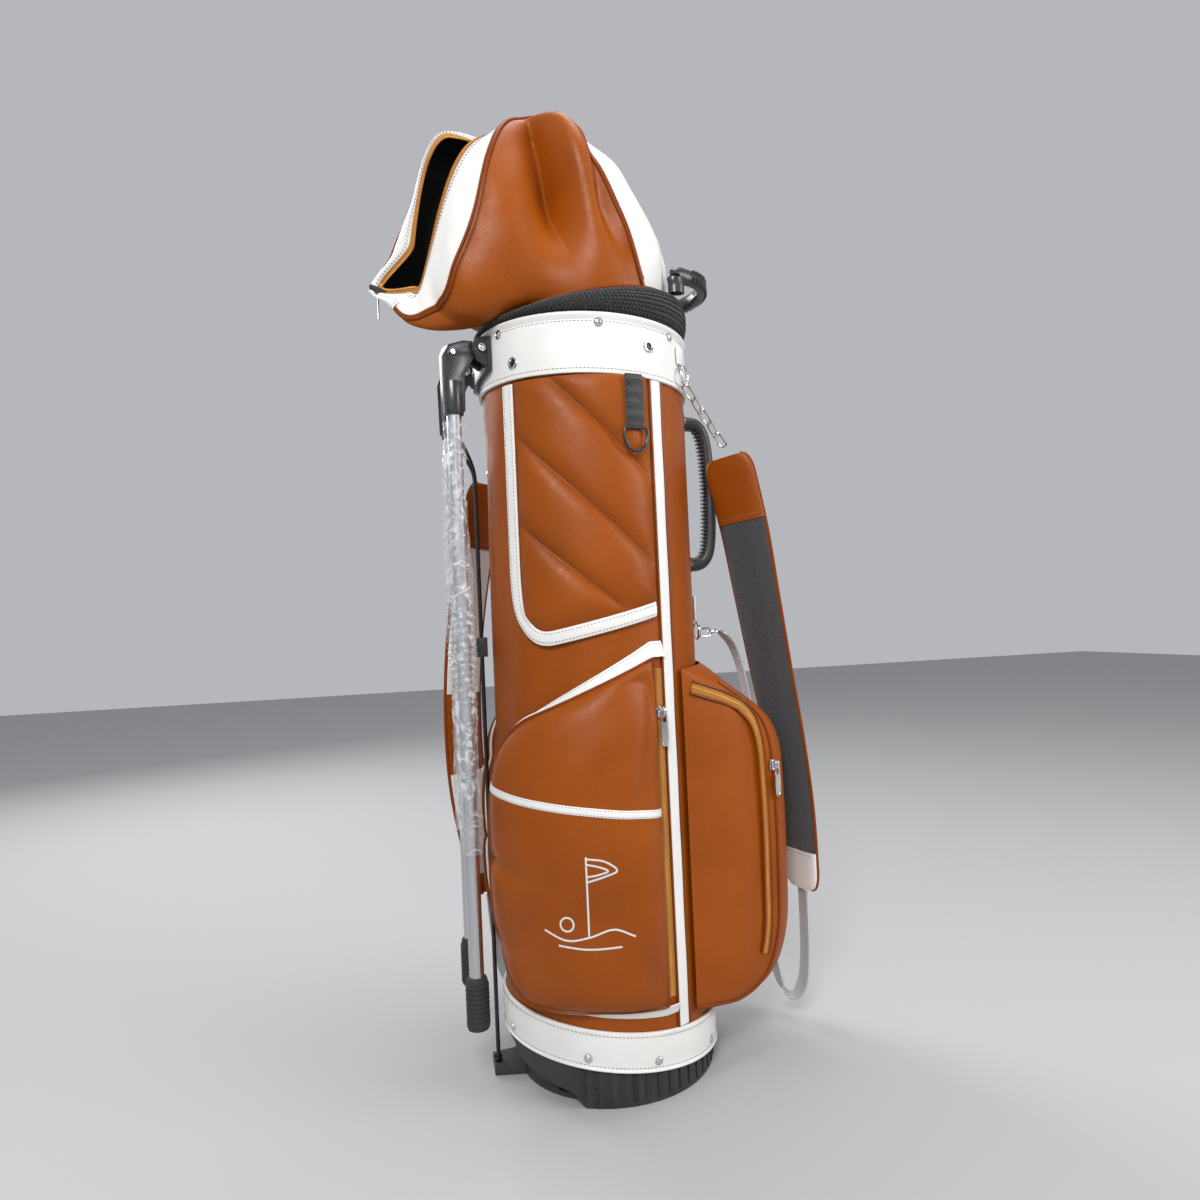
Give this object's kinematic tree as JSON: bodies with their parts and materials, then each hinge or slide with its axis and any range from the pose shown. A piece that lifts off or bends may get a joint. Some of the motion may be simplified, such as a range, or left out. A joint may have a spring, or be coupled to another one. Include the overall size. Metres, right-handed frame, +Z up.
{
  "type": "golf stand bag",
  "caption": "Stand-up golf bag with folding legs, hinged foot, flank and ball pockets, zipped rain hood, handles and two padded shoulder straps.",
  "frame": {"origin": "centre of the round base, on the flat sole", "axes": "+Z up along the bag, +X towards the spine side with the handles and the ball pocket, -X towards the legs"},
  "size_m": [0.4923, 0.3225, 1.088],
  "materials": {
    "tan_leather": "smooth coated leather",
    "white_leather": "smooth coated leather",
    "zip_tape": "woven tape",
    "black_plastic": "moulded, fine grain",
    "black_knit": "padded knit mesh",
    "charcoal_mesh": "air mesh",
    "webbing": "flat woven webbing",
    "chrome": "polished",
    "dark_steel": "black coated steel",
    "leg_aluminium": "satin tube",
    "rubber": "matt",
    "clear_film": "thin clear wrapping film"
  },
  "bodies": {
    "bag": {"bag_tube": "tan_leather", "ball_pocket": "tan_leather", "base_band": "white_leather", "base_cup": "black_plastic", "club_divider": "black_knit", "collar_ring_far": "chrome", "collar_ring_near": "chrome", "flank_pocket_far": "tan_leather", "flank_pocket_near": "tan_leather", "flank_stripe_far": "white_leather", "flank_stripe_near": "white_leather", "flank_zip_far": "zip_tape", "flank_zip_near": "zip_tape", "foot_hinge_pin": "dark_steel", "leg_bracket": "black_plastic", "leg_pivot_pin_far": "dark_steel", "leg_pivot_pin_near": "dark_steel", "lower_ring_far": "chrome", "lower_ring_near": "chrome", "lower_tab_far": "white_leather", "lower_tab_near": "white_leather", "quilt_panel_far": "tan_leather", "quilt_panel_near": "tan_leather", "side_handle": "black_plastic", "strap_tab_far": "white_leather", "strap_tab_near": "white_leather", "top_collar": "white_leather", "top_handle": "black_plastic", "top_rim": "black_knit", "towel_strap": "black_knit"},
    "foot": {"foot_plate": "black_plastic"},
    "push_rod": {"push_rod": "dark_steel", "rod_clip": "black_plastic"},
    "leg_near": {"leg_head_near": "black_plastic", "leg_tube_near": "leg_aluminium", "leg_foot_near": "rubber", "leg_link_pin_near": "chrome"},
    "leg_far": {"leg_head_far": "black_plastic", "leg_tube_far": "leg_aluminium", "leg_foot_far": "rubber", "leg_link_pin_far": "chrome"},
    "towel_ring": {"towel_ring": "black_plastic"},
    "slider_near": {"zip_slider_near": "chrome"},
    "pull_near": {"zip_pull_near": "chrome"},
    "slider_far": {"zip_slider_far": "chrome"},
    "pull_far": {"zip_pull_far": "chrome"},
    "slider_ball": {"zip_slider_ball": "chrome"},
    "pull_ball": {"zip_pull_ball": "chrome"},
    "hood": {"rain_hood": "tan_leather", "zip_slider_hood": "chrome"},
    "pull_hood": {"zip_pull_hood": "chrome"},
    "strap_near": {"strap_hook_near": "chrome", "strap_pad_near": "white_leather", "strap_web_near": "webbing", "lower_hook_near": "chrome"},
    "strap_far": {"strap_hook_far": "chrome", "strap_pad_far": "white_leather", "strap_web_far": "webbing", "lower_hook_far": "chrome"}
  },
  "joints": [
    {"name": "foot_tilt", "type": "hinge", "parent": "bag", "child": "foot", "pos_m": [-0.058, 0, 0.012], "axis": [0, 1, 0], "range_deg": [0, 14], "stiffness_Nm_per_rad": 2},
    {"name": "rod_lift", "type": "slide", "parent": "bag", "child": "push_rod", "axis": [0, 0, 1], "range_m": [0, 0.0182]},
    {"name": "leg_near_swing", "type": "hinge", "parent": "bag", "child": "leg_near", "pos_m": [-0.128, -0.046, 0.812], "axis": [-0.4226, 0.9063, 0], "range_deg": [0, 30.1]},
    {"name": "leg_far_swing", "type": "hinge", "parent": "bag", "child": "leg_far", "pos_m": [-0.128, 0.046, 0.812], "axis": [0.4226, 0.9063, 0], "range_deg": [0, 30.1]},
    {"name": "towel_ring_swing", "type": "hinge", "parent": "bag", "child": "towel_ring", "pos_m": [0.02963, -0.12832, 0.7064], "axis": [-0.9744, -0.225, 0], "range_deg": [0, 120]},
    {"name": "near_zip_slide", "type": "slide", "parent": "bag", "child": "slider_near", "axis": [0, 0, -1], "range_m": [0, 0.235]},
    {"name": "near_pull_flip", "type": "hinge", "parent": "slider_near", "child": "pull_near", "pos_m": [0.04829, -0.11951, 0.408], "axis": [-0.9272, -0.3746, 0], "range_deg": [0, 150]},
    {"name": "far_zip_slide", "type": "slide", "parent": "bag", "child": "slider_far", "axis": [0, 0, -1], "range_m": [0, 0.235]},
    {"name": "far_pull_flip", "type": "hinge", "parent": "slider_far", "child": "pull_far", "pos_m": [0.04829, 0.11951, 0.408], "axis": [0.9272, -0.3746, 0], "range_deg": [0, 150]},
    {"name": "ball_zip_slide", "type": "slide", "parent": "bag", "child": "slider_ball", "axis": [0, 0, -1], "range_m": [0, 0.165]},
    {"name": "ball_pull_flip", "type": "hinge", "parent": "slider_ball", "child": "pull_ball", "pos_m": [0.19524, -0.06935, 0.33274], "axis": [-0.8419, -0.5396, 0], "range_deg": [0, 150]},
    {"name": "hood_lift", "type": "slide", "parent": "bag", "child": "hood", "axis": [0, 0, 1], "range_m": [0, 0.25]},
    {"name": "hood_pull_flip", "type": "hinge", "parent": "hood", "child": "pull_hood", "pos_m": [-0.23293, 0, 0.89904], "axis": [0, 1, 0], "range_deg": [0, 150]},
    {"name": "strap_near_lift", "type": "hinge", "parent": "bag", "child": "strap_near", "pos_m": [0.10228, -0.07991, 0.786], "axis": [0, -1, 0], "range_deg": [0, 60]},
    {"name": "strap_far_lift", "type": "hinge", "parent": "bag", "child": "strap_far", "pos_m": [-0.07258, 0.10761, 0.786], "axis": [0.788, 0.6157, 0], "range_deg": [0, 50]}
  ],
  "couplings": [
    {"joint": "rod_lift", "follows": "foot_tilt", "m_per_rad": 0.073257},
    {"joint": "leg_near_swing", "follows": "foot_tilt", "ratio": 2.1429},
    {"joint": "leg_far_swing", "follows": "foot_tilt", "ratio": 2.1429}
  ]
}
